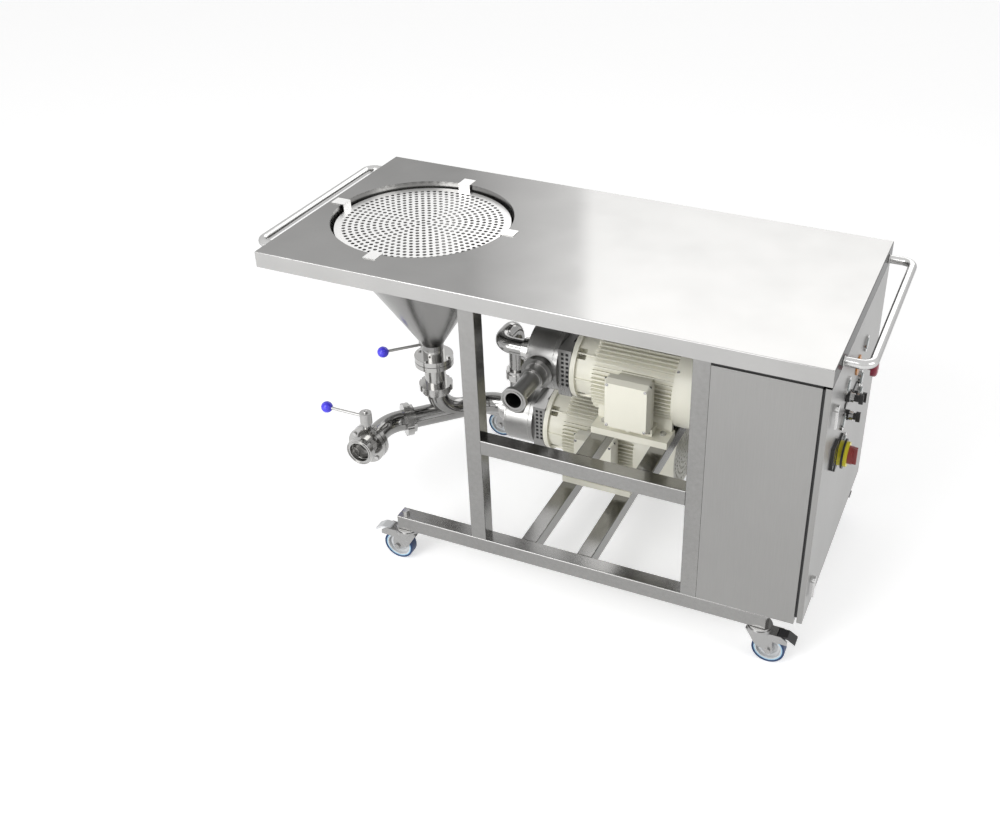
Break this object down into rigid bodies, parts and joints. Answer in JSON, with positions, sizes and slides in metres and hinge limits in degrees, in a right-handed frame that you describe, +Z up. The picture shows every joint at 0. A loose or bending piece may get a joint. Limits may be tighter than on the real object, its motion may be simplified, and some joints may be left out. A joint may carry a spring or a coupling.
{
  "type": "high shear mixer trolley",
  "caption": "Wheeled stainless table with a powder funnel, a pump and a high shear mixer joined by pipes, and a control cabinet with a hinged door.",
  "frame": {"origin": "on the floor below the middle of the table", "axes": "+X along the table from the funnel to the cabinet door, -Y to the side with the outlets, +Z up"},
  "size_m": [1.872, 0.826, 1.0353],
  "materials": {
    "stainless": "satin",
    "polished_tube": "polished",
    "head_steel": "machined",
    "bolt_steel": "bright",
    "cream_paint": "satin",
    "seal_rubber": "matt",
    "blue_plastic": "gloss",
    "grey_plastic": "matt",
    "black_plastic": "matt",
    "red_plastic": "gloss",
    "green_plastic": "gloss",
    "yellow_plastic": "gloss",
    "lamp_plastic": "gloss",
    "blue_tyre": "matt"
  },
  "bodies": {
    "table": {"worktop": "stainless", "hopper": "stainless", "frame_posts": "stainless", "frame_rails": "stainless", "handles": "polished_tube", "fasteners": "bolt_steel", "hopper_valve_body": "polished_tube", "outlet_valve_body": "polished_tube", "suction_pipe": "polished_tube", "outlet_elbow": "polished_tube", "feed_pipe": "polished_tube", "union_nuts": "polished_tube", "pump_casing": "head_steel", "mixer_casing": "head_steel", "lanterns": "head_steel", "shaft_guards": "stainless", "pump_motor_housing": "cream_paint", "mixer_motor_housing": "cream_paint", "motor_covers": "cream_paint", "bearings": "bolt_steel", "mixer_stator": "head_steel", "seals": "seal_rubber", "cabinet": "stainless", "control_gear": "grey_plastic", "door_hinges": "bolt_steel"},
    "strainer": {"strainer": "stainless"},
    "hopper_valve": {"hopper_valve_disc": "bolt_steel", "hopper_valve_knob": "blue_plastic"},
    "outlet_valve": {"outlet_valve_disc": "bolt_steel", "outlet_valve_knob": "blue_plastic"},
    "pump_rotor": {"pump_shaft": "bolt_steel", "pump_impeller": "head_steel"},
    "mixer_rotor": {"mixer_shaft": "bolt_steel", "mixer_rotor": "head_steel"},
    "door": {"door": "stainless", "warning_plates": "yellow_plastic", "switch_plates": "black_plastic", "pilot_lamps": "lamp_plastic", "control_bezels": "polished_tube"},
    "latch_upper": {"latch_upper": "polished_tube"},
    "latch_lower": {"latch_lower": "polished_tube"},
    "start_button": {"start_button": "green_plastic"},
    "stop_button": {"stop_button": "red_plastic"},
    "emergency_stop": {"emergency_stop": "red_plastic"},
    "selector_1": {"selector_1": "black_plastic"},
    "selector_2": {"selector_2": "black_plastic"},
    "selector_3": {"selector_3": "black_plastic"},
    "isolator": {"isolator_knob": "red_plastic"},
    "front_left_caster": {"front_left_fork": "bolt_steel"},
    "front_left_wheel": {"front_left_wheel": "blue_tyre"},
    "front_left_brake": {"front_left_pedal": "grey_plastic"},
    "rear_left_caster": {"rear_left_fork": "bolt_steel"},
    "rear_left_wheel": {"rear_left_wheel": "blue_tyre"},
    "rear_left_brake": {"rear_left_pedal": "grey_plastic"},
    "front_right_caster": {"front_right_fork": "bolt_steel"},
    "front_right_wheel": {"front_right_wheel": "blue_tyre"},
    "front_right_brake": {"front_right_pedal": "black_plastic"},
    "rear_right_caster": {"rear_right_fork": "bolt_steel"},
    "rear_right_wheel": {"rear_right_wheel": "blue_tyre"},
    "rear_right_brake": {"rear_right_pedal": "black_plastic"}
  },
  "joints": [
    {"name": "strainer_lift", "type": "slide", "parent": "table", "child": "strainer", "axis": [0, 0, 1], "range_m": [0, 0.4]},
    {"name": "hopper_valve_turn", "type": "hinge", "parent": "table", "child": "hopper_valve", "pos_m": [-0.522, 0, 0.526], "axis": [0.7071, -0.7071, 0], "range_deg": [0, 90]},
    {"name": "outlet_valve_turn", "type": "hinge", "parent": "table", "child": "outlet_valve", "pos_m": [-0.645, -0.244, 0.312], "axis": [0, 0, 1], "range_deg": [0, 90]},
    {"name": "pump_spin", "type": "hinge", "parent": "table", "child": "pump_rotor", "pos_m": [-0.146, 0.134, 0.312], "axis": [1, 0, 0], "continuous": true},
    {"name": "mixer_spin", "type": "hinge", "parent": "table", "child": "mixer_rotor", "pos_m": [0.038, -0.068, 0.686], "axis": [1, 0, 0], "continuous": true},
    {"name": "door_hinge", "type": "hinge", "parent": "table", "child": "door", "pos_m": [0.841, 0.393, 0.585], "axis": [0, 0, 1], "range_deg": [0, 110]},
    {"name": "latch_upper_turn", "type": "hinge", "parent": "door", "child": "latch_upper", "pos_m": [0.849, -0.342, 0.89], "axis": [1, 0, 0], "range_deg": [0, 90]},
    {"name": "latch_lower_turn", "type": "hinge", "parent": "door", "child": "latch_lower", "pos_m": [0.849, -0.342, 0.312], "axis": [1, 0, 0], "range_deg": [0, 90]},
    {"name": "start_button_press", "type": "slide", "parent": "door", "child": "start_button", "axis": [-1, 0, 0], "range_m": [0, 0.003], "stiffness_N_per_m": 500, "springref_m": -0.002},
    {"name": "stop_button_press", "type": "slide", "parent": "door", "child": "stop_button", "axis": [-1, 0, 0], "range_m": [0, 0.003], "stiffness_N_per_m": 500, "springref_m": -0.002},
    {"name": "emergency_stop_press", "type": "slide", "parent": "door", "child": "emergency_stop", "axis": [-1, 0, 0], "range_m": [0, 0.006]},
    {"name": "selector_1_turn", "type": "hinge", "parent": "door", "child": "selector_1", "pos_m": [0.849, -0.137, 0.802], "axis": [1, 0, 0], "range_deg": [-45, 45]},
    {"name": "selector_2_turn", "type": "hinge", "parent": "door", "child": "selector_2", "pos_m": [0.849, -0.109, 0.725], "axis": [1, 0, 0], "range_deg": [-45, 45]},
    {"name": "selector_3_turn", "type": "hinge", "parent": "door", "child": "selector_3", "pos_m": [0.849, 0.012, 0.716], "axis": [1, 0, 0], "range_deg": [-45, 45]},
    {"name": "isolator_turn", "type": "hinge", "parent": "door", "child": "isolator", "pos_m": [0.849, -0.172, 0.638], "axis": [1, 0, 0], "range_deg": [0, 90]},
    {"name": "front_left_swivel", "type": "hinge", "parent": "table", "child": "front_left_caster", "pos_m": [-0.441, -0.375, 0.115], "axis": [0, 0, 1], "continuous": true},
    {"name": "front_left_roll", "type": "hinge", "parent": "front_left_caster", "child": "front_left_wheel", "pos_m": [-0.474, -0.375, 0.05], "axis": [0, 1, 0], "continuous": true},
    {"name": "front_left_brake_press", "type": "hinge", "parent": "front_left_caster", "child": "front_left_brake", "pos_m": [-0.503, -0.375, 0.1077], "axis": [0, -1, 0], "range_deg": [0, 8]},
    {"name": "rear_left_swivel", "type": "hinge", "parent": "table", "child": "rear_left_caster", "pos_m": [-0.441, 0.375, 0.115], "axis": [0, 0, 1], "continuous": true},
    {"name": "rear_left_roll", "type": "hinge", "parent": "rear_left_caster", "child": "rear_left_wheel", "pos_m": [-0.474, 0.375, 0.05], "axis": [0, 1, 0], "continuous": true},
    {"name": "rear_left_brake_press", "type": "hinge", "parent": "rear_left_caster", "child": "rear_left_brake", "pos_m": [-0.503, 0.375, 0.1077], "axis": [0, -1, 0], "range_deg": [0, 8]},
    {"name": "front_right_swivel", "type": "hinge", "parent": "table", "child": "front_right_caster", "pos_m": [0.726, -0.375, 0.115], "axis": [0, 0, 1], "continuous": true},
    {"name": "front_right_roll", "type": "hinge", "parent": "front_right_caster", "child": "front_right_wheel", "pos_m": [0.759, -0.375, 0.05], "axis": [0, 1, 0], "continuous": true},
    {"name": "front_right_brake_press", "type": "hinge", "parent": "front_right_caster", "child": "front_right_brake", "pos_m": [0.788, -0.375, 0.1077], "axis": [0, 1, 0], "range_deg": [0, 8]},
    {"name": "rear_right_swivel", "type": "hinge", "parent": "table", "child": "rear_right_caster", "pos_m": [0.726, 0.375, 0.115], "axis": [0, 0, 1], "continuous": true},
    {"name": "rear_right_roll", "type": "hinge", "parent": "rear_right_caster", "child": "rear_right_wheel", "pos_m": [0.759, 0.375, 0.05], "axis": [0, 1, 0], "continuous": true},
    {"name": "rear_right_brake_press", "type": "hinge", "parent": "rear_right_caster", "child": "rear_right_brake", "pos_m": [0.788, 0.375, 0.1077], "axis": [0, 1, 0], "range_deg": [0, 8]}
  ]
}
